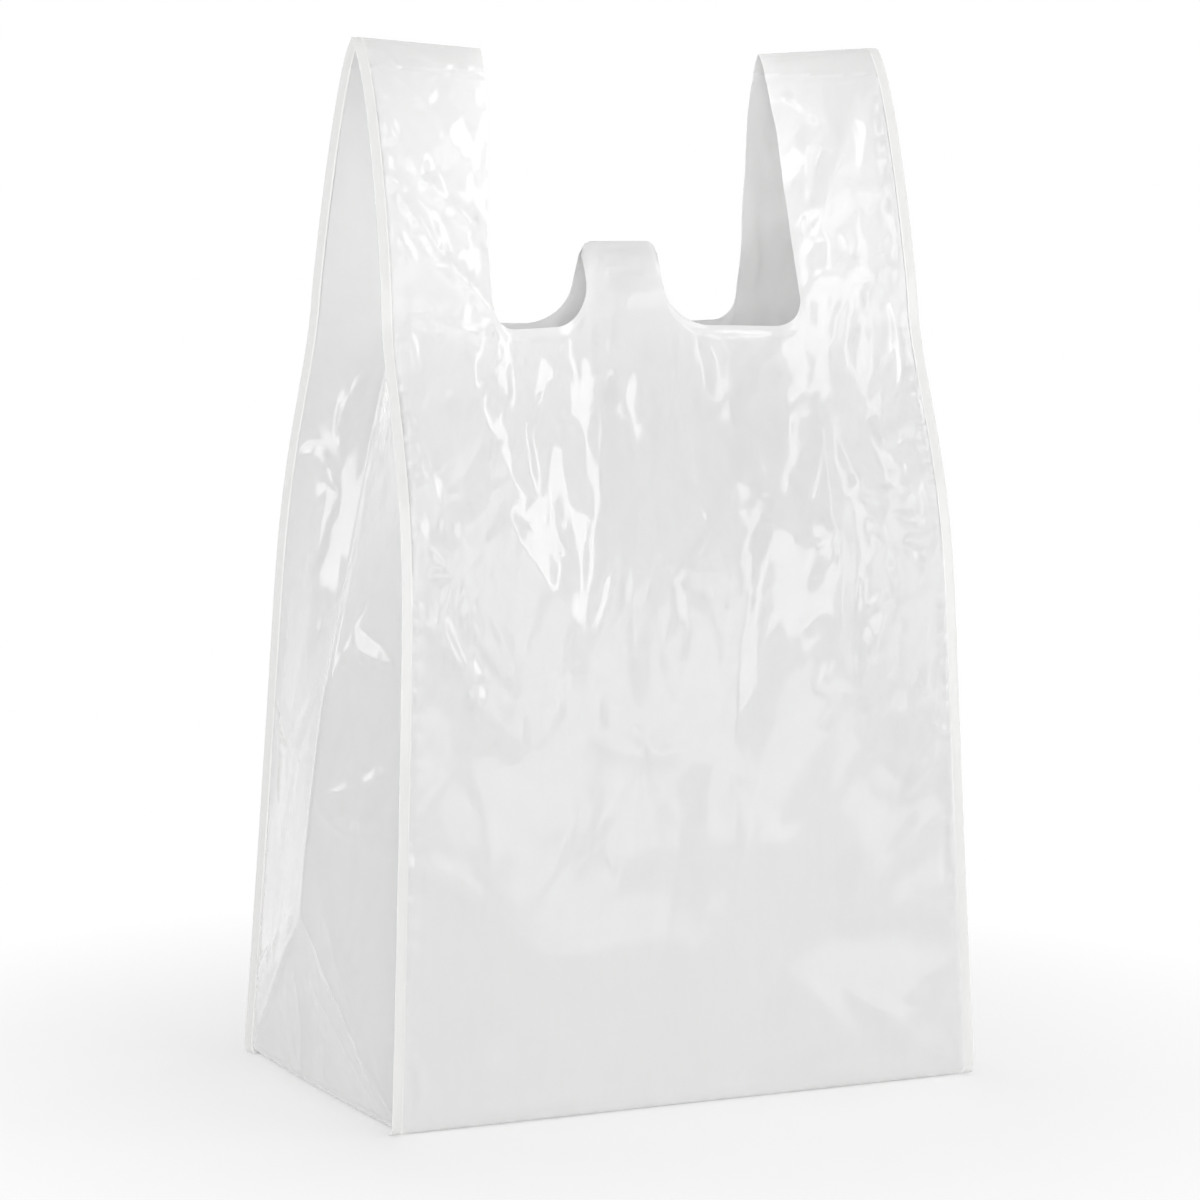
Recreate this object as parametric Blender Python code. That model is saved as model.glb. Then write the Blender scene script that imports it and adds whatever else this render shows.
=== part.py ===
"""Plastic carrier bag: a vest-type bag of blown film, opened out and standing on its squared base.

The bag is one piece of film. Its front is at -Y, its width runs along X and it stands on Z = 0.
"""

import math

import bmesh
import bpy
from mathutils import Vector
from mathutils.geometry import intersect_point_line

# Driving sizes, in metres; widths and depths are taken through the middle of the film
WIDTH = 0.305               # across the front panel at the base, seam bands included
TOP_WIDTH = 0.276           # across both handles at their crowns
DEPTH = 0.178               # front to back at the base, where a gusset is opened flat
WAIST_DEPTH = 0.154         # front to back where the shoulders start to lean in
SHOULDER_DEPTH = 0.082      # front to back at the foot of the handles
HEIGHT = 0.487              # overall, to the crowns of the handles
FILM = 0.0003               # film thickness
SEAM_BAND = 0.0055          # flat welded band along each upright edge

WAIST_HEIGHT = 0.200        # where the shoulders start to lean in
MOUTH_HEIGHT = 0.3555       # lowest point of the cut-out on each side of the tab
TAB_RISE = 0.039            # from there to the top of the tab
TAB_WIDTH = 0.040           # across the tab, above its fillets
TAB_FILLET = 0.021          # where the tab runs out into the mouth
TAB_CORNER = 0.006          # rounded top corners of the tab
HANDLE_FILLET = 0.013       # where a handle runs out into the mouth
GAP_AT_FOOT = 0.162         # clear width between the handles at their feet
GAP_AT_CROWN = 0.146        # the same at their crowns
CROWN_DROOP = 0.004         # how much lower a crown is at its inner end

PINCH_START = 0.100         # height from which the tab draws the two panels together
PINCH_REACH = 0.054         # how far to each side of the tab that pull is felt
PINCH_SHARE = 0.70          # share of the half depth that is drawn in at the mouth

BULGE = 0.0175              # how far the fold point of a gusset stands out from its seams
BULGE_HEIGHT = 0.085        # height of that point, where the two diagonal folds meet
BASE_BOW = 0.0020           # how far the foot of a gusset bows out from its seams
PLEAT_SHARE = 0.60          # depth of the inward pleat at the handles, as a share of the half depth

FOLD_RISE = 0.0035          # height of the soft folds that hang in the panels
FOLD_SPREAD = 0.012         # half of their width
FOLD_EDGE = 0.015           # folds fade out over this distance from the seams and the base

# How finely the film is divided
ROW = 0.0165                # height of a row on the body
BEND_ROWS = 4               # rows that bend along the mouth
BEND_DEPTH = 0.055          # height of those rows below the mouth
HANDLE_CELLS = 5
FILLET_CELLS = 4
NOTCH_CELLS = 2
TAB_CELLS = 4
TAB_ROWS = 3
HANDLE_ROWS = 11
GUSSET_CELLS = 4            # from a seam to the middle fold

FRONT, BACK = -1, 1
LEFT, RIGHT = -1, 1

# Soft folds, each from (across, up) to (across, up): shares of the half width and of the mouth's
# height. The first ones hang from the mouth, the others run down from the seams.
FRONT_FOLDS = (
    ((-0.22, 0.98), (-0.08, 0.76)),
    ((-0.05, 0.97), (0.07, 0.84)),
    ((0.18, 0.98), (0.15, 0.80)),
    ((0.36, 0.97), (0.41, 0.74)),
    ((-0.70, 0.91), (-0.43, 0.66)),
    ((-0.83, 0.93), (-0.68, 0.68)),
    ((-0.90, 0.66), (-0.53, 0.53)),
    ((0.67, 0.93), (0.69, 0.56)),
    ((0.95, 0.74), (0.75, 0.55)),
    ((0.87, 0.47), (0.65, 0.27)),
    ((-0.14, 0.50), (0.27, 0.48)),
    ((-0.83, 0.06), (-0.47, 0.12)),
)
BACK_FOLDS = (
    ((-0.21, 0.97), (-0.27, 0.75)),
    ((0.03, 0.97), (-0.03, 0.82)),
    ((0.27, 0.98), (0.21, 0.72)),
    ((0.84, 0.90), (0.60, 0.60)),
    ((-0.79, 0.92), (-0.64, 0.63)),
    ((-0.88, 0.48), (-0.41, 0.37)),
    ((0.84, 0.31), (0.47, 0.17)),
)


def blend(start, end, share):
    return start + (end - start) * share


def handle_foot():
    """Height where the straight inner edge of a handle starts, above its fillet."""
    return MOUTH_HEIGHT + HANDLE_FILLET


def crown():
    """Height of the middle of the film at the outer end of a crown."""
    return HEIGHT - FILM


def half_width(z):
    """Half of the front panel, seam bands included: the sides lean in less and less."""
    share = max(0.0, 1.0 - z / HEIGHT) ** 1.5
    return blend(TOP_WIDTH, WIDTH, share) / 2


def half_seams(z):
    """Half of the width between the seams, where the gussets join the panels."""
    return half_width(z) - SEAM_BAND


def half_depth(z):
    """Half of the depth at the seams: upright body, leaning shoulders, arched handles."""
    foot = handle_foot()
    if z <= foot:
        upright = blend(DEPTH, WAIST_DEPTH, z / WAIST_HEIGHT) / 2
        upright_at_foot = blend(DEPTH, WAIST_DEPTH, foot / WAIST_HEIGHT) / 2
        share = max(0.0, (z - WAIST_HEIGHT) / (foot - WAIST_HEIGHT)) ** 1.7
        lean = share * share * (3.0 - 2.0 * share)
        return upright - lean * (upright_at_foot - SHOULDER_DEPTH / 2)
    rise = min(1.0, (z - foot) / (crown() - foot))
    return SHOULDER_DEPTH / 2 * (1.0 - rise ** 1.1) ** 0.64


def pinch(x, z):
    """Share of the half depth by which the tab draws a panel in."""
    if z <= MOUTH_HEIGHT:
        rise = max(0.0, (z - PINCH_START) / (MOUTH_HEIGHT - PINCH_START))
        pull = PINCH_SHARE * rise * rise
    else:
        pull = blend(PINCH_SHARE, 1.0, min(1.0, (z - MOUTH_HEIGHT) / TAB_RISE))
    aside = max(0.0, abs(x) - TAB_WIDTH / 2) / PINCH_REACH
    return pull * math.exp(-aside * aside)


def fold_relief(folds, x, z):
    """Height outward of the soft folds that pass near a point of a panel."""
    here = Vector((x, z, 0.0))
    height = 0.0
    for ends in folds:
        start, end = (Vector((across * half_seams(up * MOUTH_HEIGHT), up * MOUTH_HEIGHT, 0.0))
                      for across, up in ends)
        along = intersect_point_line(here, start, end)[1]
        nearest = start.lerp(end, min(1.0, max(0.0, along)))
        aside = (here - nearest).length / FOLD_SPREAD
        height += FOLD_RISE * math.exp(-aside * aside)
    fade = min(half_seams(z) - abs(x), z, FOLD_EDGE) / FOLD_EDGE
    return height * max(0.0, fade)


def panel_point(side, x, z):
    """A point of the front or the back panel, or of a handle that continues it."""
    depth = half_depth(z) * (1.0 - pinch(x, z))
    if z < handle_foot():
        depth += fold_relief(FRONT_FOLDS if side == FRONT else BACK_FOLDS, x, z)
    return Vector((x, side * depth, z))


def band_tip(side, end, z):
    """The free edge of a seam band, level with the panel that it belongs to."""
    return Vector((end * half_width(z), side * half_depth(z), z))


def gusset_inset(across, z):
    """How far a gusset lies inside its seams; below zero it stands out."""
    aside = abs(across)
    foot = handle_foot()
    if z < BULGE_HEIGHT:
        # Two diagonals run down from the fold point to the corners of the base.
        rise = z / BULGE_HEIGHT
        bow = BASE_BOW * (1.0 - aside * aside) * (1.0 - rise)
        return -bow - BULGE * min(rise, 1.0 - aside)
    if z < foot:
        share = ((z - BULGE_HEIGHT) / (foot - BULGE_HEIGHT)) ** 1.45
        return blend(-BULGE, PLEAT_SHARE * half_depth(foot), share) * (1.0 - aside)
    return PLEAT_SHARE * half_depth(z) * (1.0 - aside)


def gusset_point(end, across, z):
    """A point of a gusset; across runs from -1 at the front seam to 1 at the back seam."""
    x = half_seams(z) - gusset_inset(across, z)
    return Vector((end * x, across * half_depth(z), z))


def mouth_line():
    """Top of every column of a panel, as (x, z) from the left seam to the right seam.

    Half of it is drawn from the middle of the tab outwards: the tab, its fillet, the straight
    bottom of the cut-out, the handle's fillet and the foot of the handle.
    """
    tab_side = TAB_WIDTH / 2
    tab_foot = MOUTH_HEIGHT + TAB_FILLET
    line = [(tab_side * 2 * i / TAB_CELLS, tab_foot) for i in range(TAB_CELLS // 2 + 1)]
    turns = [math.pi / 2 * i / FILLET_CELLS for i in range(1, FILLET_CELLS + 1)]
    for turn in turns:
        line.append((tab_side + TAB_FILLET * (1.0 - math.cos(turn)),
                     tab_foot - TAB_FILLET * math.sin(turn)))
    notch_end = GAP_AT_FOOT / 2 - HANDLE_FILLET
    for i in range(1, NOTCH_CELLS + 1):
        line.append((blend(tab_side + TAB_FILLET, notch_end, i / NOTCH_CELLS), MOUTH_HEIGHT))
    for turn in turns:
        line.append((notch_end + HANDLE_FILLET * math.sin(turn),
                     MOUTH_HEIGHT + HANDLE_FILLET * (1.0 - math.cos(turn))))
    seam = half_seams(handle_foot())
    for i in range(1, HANDLE_CELLS + 1):
        line.append((blend(GAP_AT_FOOT / 2, seam, i / HANDLE_CELLS), handle_foot()))
    return [(-x, z) for x, z in reversed(line[1:])] + line


def row_heights(column_top):
    """Heights of the rows of one column; the upper ones bend along the mouth."""
    bend_start = MOUTH_HEIGHT - BEND_DEPTH
    count = max(1, round((bend_start - BULGE_HEIGHT) / ROW))
    heights = [BULGE_HEIGHT * i / GUSSET_CELLS for i in range(GUSSET_CELLS)]
    heights += [blend(BULGE_HEIGHT, bend_start, i / count) for i in range(count)]
    heights += [blend(bend_start, column_top, i / BEND_ROWS) for i in range(BEND_ROWS + 1)]
    return heights


def join_rows(mesh, lower, upper):
    """Four-cornered faces between two rows of equal length."""
    for i in range(len(lower) - 1):
        mesh.faces.new((lower[i], lower[i + 1], upper[i + 1], upper[i]))


def build_panel(mesh, side):
    """Rows of one panel up to the mouth, each from the left band's tip to the right one's."""
    columns = [(x_top, row_heights(z_top)) for x_top, z_top in mouth_line()]
    rows = []
    for j, seam_height in enumerate(row_heights(handle_foot())):
        row = [mesh.verts.new(band_tip(side, LEFT, seam_height))]
        for x_top, heights in columns:
            x = x_top * half_seams(heights[j]) / half_seams(handle_foot())
            row.append(mesh.verts.new(panel_point(side, x, heights[j])))
        row.append(mesh.verts.new(band_tip(side, RIGHT, seam_height)))
        rows.append(row)
    for lower, upper in zip(rows, rows[1:]):
        join_rows(mesh, lower, upper)
    return rows


def gusset_row(mesh, end, front_seam, back_seam):
    """One row of a gusset, between a vertex of the front seam and one of the back seam."""
    shares = [i / GUSSET_CELLS - 1.0 for i in range(1, 2 * GUSSET_CELLS)]
    inner = [mesh.verts.new(gusset_point(end, share, front_seam.co.z)) for share in shares]
    return [front_seam] + inner + [back_seam]


def build_gusset(mesh, end, front_seams, back_seams):
    """A gusset from the base to the handle's foot, its faces split along the diagonal folds."""
    rows = [gusset_row(mesh, end, *seams) for seams in zip(front_seams, back_seams)]
    for j, (lower, upper) in enumerate(zip(rows, rows[1:])):
        if j >= GUSSET_CELLS:
            join_rows(mesh, lower, upper)
            continue
        near, far = j, 2 * GUSSET_CELLS - 1 - j
        join_rows(mesh, lower[:near + 1], upper[:near + 1])
        mesh.faces.new((lower[near], lower[near + 1], upper[near + 1]))
        mesh.faces.new((lower[near], upper[near + 1], upper[near]))
        join_rows(mesh, lower[near + 1:far + 1], upper[near + 1:far + 1])
        mesh.faces.new((lower[far], lower[far + 1], upper[far]))
        mesh.faces.new((lower[far + 1], upper[far + 1], upper[far]))
        join_rows(mesh, lower[far + 1:], upper[far + 1:])
    return rows


def build_handle(mesh, end, front_foot, back_foot):
    """One handle, from its front foot over the crown down to its back foot.

    Each row runs from the inner edge to the seam and on to the tip of the seam band.
    """
    foot = handle_foot()
    # The rows crowd towards the crown, where the film bends most.
    steps = [math.sin(math.pi / 2 * k / HANDLE_ROWS) for k in range(1, HANDLE_ROWS)]
    climb = [(FRONT, step) for step in steps] + [(FRONT, 1.0)]
    climb += [(BACK, step) for step in reversed(steps)]
    rows = [front_foot]
    for side, rise in climb:
        z = blend(foot, crown(), rise)
        inner = blend(GAP_AT_FOOT, GAP_AT_CROWN, rise) / 2
        row = []
        for i in range(HANDLE_CELLS + 1):
            share = i / HANDLE_CELLS
            point = panel_point(side, end * blend(inner, half_seams(z), share), z)
            point.z -= CROWN_DROOP * rise * (1.0 - share)
            row.append(mesh.verts.new(point))
        row.append(mesh.verts.new(band_tip(side, end, z)))
        rows.append(row)
    rows.append(back_foot)
    for lower, upper in zip(rows, rows[1:]):
        join_rows(mesh, lower, upper)
    return rows


def build_handle_end(mesh, end, handle_rows, foot_row):
    """The gusset between the two legs of a handle, which closes in a point at the crown."""
    lower = foot_row
    for k in range(1, HANDLE_ROWS):
        upper = gusset_row(mesh, end, handle_rows[k][-2], handle_rows[-1 - k][-2])
        join_rows(mesh, lower, upper)
        lower = upper
    top = handle_rows[HANDLE_ROWS][-2]
    for near, far in zip(lower, lower[1:]):
        mesh.faces.new((near, far, top))


def build_tab(mesh, front_foot, back_foot):
    """The tab: two leaves that lean together and are welded along its rounded top."""
    ridge = []
    for vertex in front_foot:
        past = max(0.0, abs(vertex.co.x) - (TAB_WIDTH / 2 - TAB_CORNER))
        drop = TAB_CORNER - math.sqrt(max(0.0, TAB_CORNER ** 2 - past ** 2))
        ridge.append(mesh.verts.new((vertex.co.x, 0.0, MOUTH_HEIGHT + TAB_RISE - drop)))
    for foot in (front_foot, back_foot):
        lower = foot
        for k in range(1, TAB_ROWS):
            upper = [mesh.verts.new(start.co.lerp(top.co, k / TAB_ROWS))
                     for start, top in zip(foot, ridge)]
            join_rows(mesh, lower, upper)
            lower = upper
        join_rows(mesh, lower, ridge)


def build_film():
    """The middle surface of the film, with the seam bands standing out from its four edges."""
    mesh = bmesh.new()
    front = build_panel(mesh, FRONT)
    back = build_panel(mesh, BACK)
    base = [front[0][1:-1], back[0][-2:0:-1]]

    handle_span = HANDLE_CELLS + 2
    for end, seam in ((RIGHT, -2), (LEFT, 1)):
        gusset = build_gusset(mesh, end, [row[seam] for row in front], [row[seam] for row in back])
        edge = gusset[0][1:-1]
        base.insert(1, edge) if end == RIGHT else base.append(edge[::-1])
        feet = [row[-handle_span:] if end == RIGHT else row[handle_span - 1::-1]
                for row in (front[-1], back[-1])]
        handle = build_handle(mesh, end, *feet)
        build_handle_end(mesh, end, handle, gusset[-1])

    middle = len(front[-1]) // 2
    span = slice(middle - TAB_CELLS // 2, middle + TAB_CELLS // 2 + 1)
    build_tab(mesh, front[-1][span], back[-1][span])

    # The squared base is one flat face, from seam to seam.
    mesh.faces.new([vertex for edge in base for vertex in edge])
    bmesh.ops.translate(mesh, vec=(0.0, 0.0, FILM / 2), verts=mesh.verts)
    bmesh.ops.recalc_face_normals(mesh, faces=mesh.faces)
    return mesh


def film_material():
    material = bpy.data.materials.new("white_film")
    material.use_nodes = True
    shader = material.node_tree.nodes["Principled BSDF"]
    shader.inputs["Base Color"].default_value = (0.84, 0.84, 0.83, 1.0)
    shader.inputs["Roughness"].default_value = 0.22
    shader.inputs["Metallic"].default_value = 0.0
    return material


def build_bag():
    for old in list(bpy.data.objects):
        bpy.data.objects.remove(old, do_unlink=True)
    mesh = bpy.data.meshes.new("carrier_bag")
    film = build_film()
    film.to_mesh(mesh)
    film.free()
    mesh.materials.append(film_material())
    mesh.shade_smooth()
    bag = bpy.data.objects.new("carrier_bag", mesh)
    bpy.context.scene.collection.objects.link(bag)

    # Three leaves of film meet along each seam band, which this kind of Solidify allows.
    wall = bag.modifiers.new("film", "SOLIDIFY")
    wall.solidify_mode = "NON_MANIFOLD"
    wall.nonmanifold_thickness_mode = "CONSTRAINTS"
    wall.nonmanifold_merge_threshold = 0.000001
    wall.thickness = FILM
    wall.offset = 0.0


build_bag()
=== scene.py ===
import math

import bpy
import numpy as np
from mathutils import Matrix, Vector
from mathutils.geometry import delaunay_2d_cdt


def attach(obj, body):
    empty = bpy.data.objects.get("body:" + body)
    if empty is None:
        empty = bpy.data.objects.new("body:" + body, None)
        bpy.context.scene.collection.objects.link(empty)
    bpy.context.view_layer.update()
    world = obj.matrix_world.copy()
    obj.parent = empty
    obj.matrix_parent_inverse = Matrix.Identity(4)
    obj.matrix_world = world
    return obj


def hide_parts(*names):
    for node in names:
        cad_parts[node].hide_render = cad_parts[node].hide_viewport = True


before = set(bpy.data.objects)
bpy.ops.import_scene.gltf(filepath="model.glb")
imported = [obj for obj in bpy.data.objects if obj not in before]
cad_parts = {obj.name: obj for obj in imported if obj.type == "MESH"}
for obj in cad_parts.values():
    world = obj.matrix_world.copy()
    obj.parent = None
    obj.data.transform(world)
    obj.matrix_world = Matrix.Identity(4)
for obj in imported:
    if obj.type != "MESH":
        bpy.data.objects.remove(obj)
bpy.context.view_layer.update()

# ---------------------------------------------------------------------------------------------
# Camera: it stands in front of the bag and to its left, a little above its middle, and looks
# slightly down. Its place and lens were worked out from the bag's corners in the photograph.
PHOTO_WIDTH = 1200          # pixels across the photograph
FOCAL_PIXELS = 4131.92      # focal length in those pixels
SENSOR = 36.0
YAW, PITCH, ROLL = 0.47125, 0.12081, 0.01494    # radians
STAND = (-0.8895, -1.7320, 0.4611)              # where the camera stands, in metres

camera_data = bpy.data.cameras.new("camera")
camera_data.sensor_width = SENSOR
camera_data.lens = FOCAL_PIXELS / PHOTO_WIDTH * SENSOR
camera = bpy.data.objects.new("camera", camera_data)
bpy.context.scene.collection.objects.link(camera)
forward = Vector((math.sin(YAW) * math.cos(PITCH), math.cos(YAW) * math.cos(PITCH),
                  -math.sin(PITCH)))
level = Vector((math.cos(YAW), -math.sin(YAW), 0.0))
upright = level.cross(forward)
right = level * math.cos(ROLL) + upright * math.sin(ROLL)
up = upright * math.cos(ROLL) - level * math.sin(ROLL)
turn = Matrix((right, up, -forward)).transposed().to_4x4()
camera.matrix_world = Matrix.Translation(STAND) @ turn
bpy.context.scene.camera = camera

# ---------------------------------------------------------------------------------------------
# Front leaf: the flat side of a tube of blown film, 0.3 mm thick as modelled, with the front halves
# of both handles and of the tab. The mouth is die-cut between them, the tab pulls it inwards, and
# the free edge of the weld stands out along both sides. The sizes, in metres, are the CAD part's.
WIDTH, TOP_WIDTH = 0.305, 0.276
DEPTH, WAIST_DEPTH, SHOULDER_DEPTH = 0.178, 0.154, 0.082
HEIGHT, FILM, SEAM_BAND = 0.487, 0.0003, 0.0055
WAIST_HEIGHT, MOUTH_HEIGHT = 0.200, 0.3555
TAB_RISE, TAB_WIDTH, TAB_FILLET, TAB_CORNER = 0.039, 0.040, 0.021, 0.006
HANDLE_FILLET, GAP_AT_FOOT, GAP_AT_CROWN, CROWN_DROOP = 0.013, 0.162, 0.146, 0.004
PINCH_START, PINCH_REACH, PINCH_SHARE = 0.100, 0.054, 0.70
FOOT = MOUTH_HEIGHT + HANDLE_FILLET     # where the handles start
CROWN = HEIGHT - FILM
BEND_DEPTH = 0.055      # rows bend along the mouth from this far below it
CALM_TOP = 0.135        # rows are wider apart up to here
FAR = 99.0              # place below the mouth, for points that don't lie below it
FRONT, BACK = -1, 1
BACK_BEND = math.radians(68.0)
MM = 0.001


def blend(start, end, share):
    return start + (end - start) * share


def half_seams(z):
    """Half of the width between the seams at a height."""
    share = np.clip(1.0 - z / HEIGHT, 0.0, 1.0) ** 1.5
    return blend(TOP_WIDTH, WIDTH, share) / 2 - SEAM_BAND


def half_depth(z):
    """Half of the depth at the seams: upright body, leaning shoulders, arched handles."""
    upright_part = blend(DEPTH, WAIST_DEPTH, z / WAIST_HEIGHT) / 2
    at_foot = blend(DEPTH, WAIST_DEPTH, FOOT / WAIST_HEIGHT) / 2
    share = np.clip((z - WAIST_HEIGHT) / (FOOT - WAIST_HEIGHT), 0.0, 1.0) ** 1.7
    body = upright_part - share * share * (3.0 - 2.0 * share) * (at_foot - SHOULDER_DEPTH / 2)
    rise = np.clip((z - FOOT) / (CROWN - FOOT), 0.0, 1.0)
    return np.where(z <= FOOT, body, SHOULDER_DEPTH / 2 * (1.0 - rise ** 1.1) ** 0.64)


def panel_depth(x, z):
    """Half of the depth at a point of a panel, which the tab draws in towards the middle."""
    low = PINCH_SHARE * np.clip((z - PINCH_START) / (MOUTH_HEIGHT - PINCH_START), 0.0, 1.0) ** 2
    high = blend(PINCH_SHARE, 1.0, np.clip((z - MOUTH_HEIGHT) / TAB_RISE, 0.0, 1.0))
    pull = np.where(z <= MOUTH_HEIGHT, low, high)
    aside = np.maximum(0.0, np.abs(x) - TAB_WIDTH / 2) / PINCH_REACH
    return half_depth(z) * (1.0 - pull * np.exp(-aside * aside))


def tuck(z):
    """How far the film turns in over the last 5 mm above the table, where it is folded."""
    rounding, turned_in = 0.005, 0.004
    return turned_in * (1.0 - np.sqrt(1.0 - np.clip(1.0 - z / rounding, 0.0, 1.0) ** 2))


def leaf_grids(side, half_columns, bands, row):
    """Grids of a leaf from the base up: its body, both legs of handles and the half of the tab.

    half_columns counts the columns of the right half of the mouth's edge: tab, its fillet, the
    straight, the handle's fillet and the handle. Each grid comes with the x, z and place below
    the mouth of its points, in millimetres.
    """
    tab, tab_fillet, straight, handle_fillet, handle = half_columns
    tab_side, tab_foot = TAB_WIDTH / 2, MOUTH_HEIGHT + TAB_FILLET
    notch_end = GAP_AT_FOOT / 2 - HANDLE_FILLET
    turns = np.linspace(0.0, math.pi / 2, tab_fillet + 1)
    x_top = [np.linspace(0.0, tab_side, tab + 1), tab_side + TAB_FILLET * (1.0 - np.cos(turns)[1:])]
    z_top = [np.full(tab + 1, tab_foot), tab_foot - TAB_FILLET * np.sin(turns)[1:]]
    x_top.append(np.linspace(tab_side + TAB_FILLET, notch_end, straight + 1)[1:])
    z_top.append(np.full(straight, MOUTH_HEIGHT))
    turns = np.linspace(0.0, math.pi / 2, handle_fillet + 1)[1:]
    x_top.append(notch_end + HANDLE_FILLET * np.sin(turns))
    z_top.append(MOUTH_HEIGHT + HANDLE_FILLET * (1.0 - np.cos(turns)))
    x_top.append(np.linspace(GAP_AT_FOOT / 2, float(half_seams(FOOT)), handle + 1)[1:])
    z_top.append(np.full(handle + bands, FOOT))
    x_top, z_top = np.concatenate(x_top), np.concatenate(z_top)
    band = np.arange(1, bands + 1) / bands * SEAM_BAND
    # Rows are wider apart in the calm lower half.
    bend_start = MOUTH_HEIGHT - BEND_DEPTH
    calm = np.append([0.0, 0.0005, 0.0013, 0.0026], np.arange(0.0045, CALM_TOP, row * 1.7))
    next_row = CALM_TOP + 0.002
    close = np.linspace(next_row, bend_start, round((bend_start - next_row) / row))
    level_rows = np.append(calm, close)[:-1]
    bent = np.linspace(0.0, 1.0, round(BEND_DEPTH / row) + 2)
    z = np.vstack([np.repeat(level_rows[:, None], len(z_top), axis=1),
                   bend_start + bent[:, None] * (z_top - bend_start)[None, :]])
    seams = half_seams(z)
    x = np.hstack([x_top / half_seams(FOOT) * seams[:, :-bands], seams[:, -bands:] + band])
    body = np.hstack([-x[:, :0:-1], x]), np.hstack([z[:, :0:-1], z])
    below = np.hstack([z_top[:0:-1], z_top])[None, :] - body[1]
    grids = [(*body, 0.0, below)]
    rise = np.sin(np.linspace(0.0, math.pi / 2, round(0.115 / row)))[:, None]
    z = blend(FOOT, CROWN, rise)
    share = np.linspace(0.0, 1.0, handle + 1)[None, :]
    seams = half_seams(z)
    x = np.hstack([blend(blend(GAP_AT_FOOT, GAP_AT_CROWN, rise) / 2, seams, share), seams + band])
    z = np.broadcast_to(z, x.shape)
    droop = CROWN_DROOP * rise * np.hstack([1.0 - share, np.zeros((1, bands))])
    grids += [(-x[:, ::-1], z[:, ::-1], droop[:, ::-1], np.full(x.shape, FAR)),
              (x, z, droop, np.full(x.shape, FAR))]
    across = np.linspace(-tab_side, tab_side, 2 * tab + 1)[None, :]
    past = np.maximum(0.0, np.abs(across) - (tab_side - TAB_CORNER))
    rounded = np.sqrt(np.maximum(0.0, TAB_CORNER ** 2 - past ** 2))
    ridge = MOUTH_HEIGHT + TAB_RISE - TAB_CORNER + rounded
    lean = np.linspace(0.0, 1.0, round(0.018 / row) + 5)[:, None]
    z = blend(tab_foot, ridge, lean)
    grids.append((np.broadcast_to(across, z.shape), z, lean, None))
    finished = []
    for x, z, drop, below in grids:
        depth = np.where(np.abs(x) > half_seams(z), half_depth(z), panel_depth(x, z)) - tuck(z)
        if below is None:
            # The tab's two halves lean together from its foot up.
            depth = panel_depth(x, np.full_like(x, tab_foot)) * (1.0 - drop)
            drop, below = 0.0, np.full_like(x, FAR)
        points = np.stack([x, side * depth, z - drop + FILM / 2], axis=2)
        if side == BACK:
            # The back leaf's band is bent backwards, away from the gussets.
            out = np.maximum(0.0, np.abs(x) - half_seams(z))
            points[..., 0] -= np.sign(x) * out * (1.0 - math.cos(BACK_BEND))
            points[..., 1] += out * math.sin(BACK_BEND)
        finished.append((points, x / MM, z / MM, below / MM))
    return finished


def smooth_line(points, parts=4):
    """A polyline in millimetres, rounded through its points, with the share along it."""
    p = np.array([points[0]] + list(points) + [points[-1]], float)
    curve = []
    for a, b, c, d in zip(p, p[1:], p[2:], p[3:]):
        for t in np.arange(parts) / parts:
            curve.append(0.5 * (2 * b + (c - a) * t + (2 * a - 5 * b + 4 * c - d) * t ** 2
                                + (3 * b - a - 3 * c + d) * t ** 3))
    curve = np.array(curve + [p[-1]])
    run = np.append(0.0, np.cumsum(np.hypot(*np.diff(curve, axis=0).T)))
    return curve, run / run[-1]


def fold_heights(across, upward, folds, crumpling):
    """Height in millimetres of given folds at points of a sheet, also in millimetres.

    Each fold is a ridge line, the width of its flank to the left and to the right of its
    direction, the slope of the narrower flank, which is flat, and how crumpled it is. The wider
    flank eases out, and the fold runs out to a point at both ends.
    """
    total = np.zeros_like(across)
    for points, left, right_width, steep, crumpled in folds:
        line, share = smooth_line(points)
        flat, reach = min(left, right_width), max(left, right_width)
        near = ((across > line[:, 0].min() - reach) & (across < line[:, 0].max() + reach)
                & (upward > line[:, 1].min() - reach) & (upward < line[:, 1].max() + reach))
        if not near.any():
            continue
        u, v = across[near], upward[near]
        best, width, along = np.full(u.shape, 1e9), np.ones(u.shape), np.zeros(u.shape)
        for a, b, s, e in zip(line, line[1:], share, share[1:]):
            d = b - a
            t = np.clip(((u - a[0]) * d[0] + (v - a[1]) * d[1]) / (d @ d), 0.0, 1.0)
            gap = np.hypot(u - a[0] - t * d[0], v - a[1] - t * d[1])
            leftward = d[0] * (v - a[1]) - d[1] * (u - a[0]) > 0
            closer = gap < best
            best = np.where(closer, gap, best)
            width = np.where(closer, np.where(leftward, left, right_width), width)
            along = np.where(closer, blend(s, e, t), along)
        taper = np.clip(4.0 * along * (1.0 - along), 0.0, 1.0) ** 0.6
        flank = np.clip(1.0 - best / (width * taper + 0.01), 0.0, 1.0)
        ease = np.where(width <= flat, 1.0, 2.0)
        total[near] += steep * flat * taper * flank ** ease * (1.0 + crumpled * crumpling[near])
    return total


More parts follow.
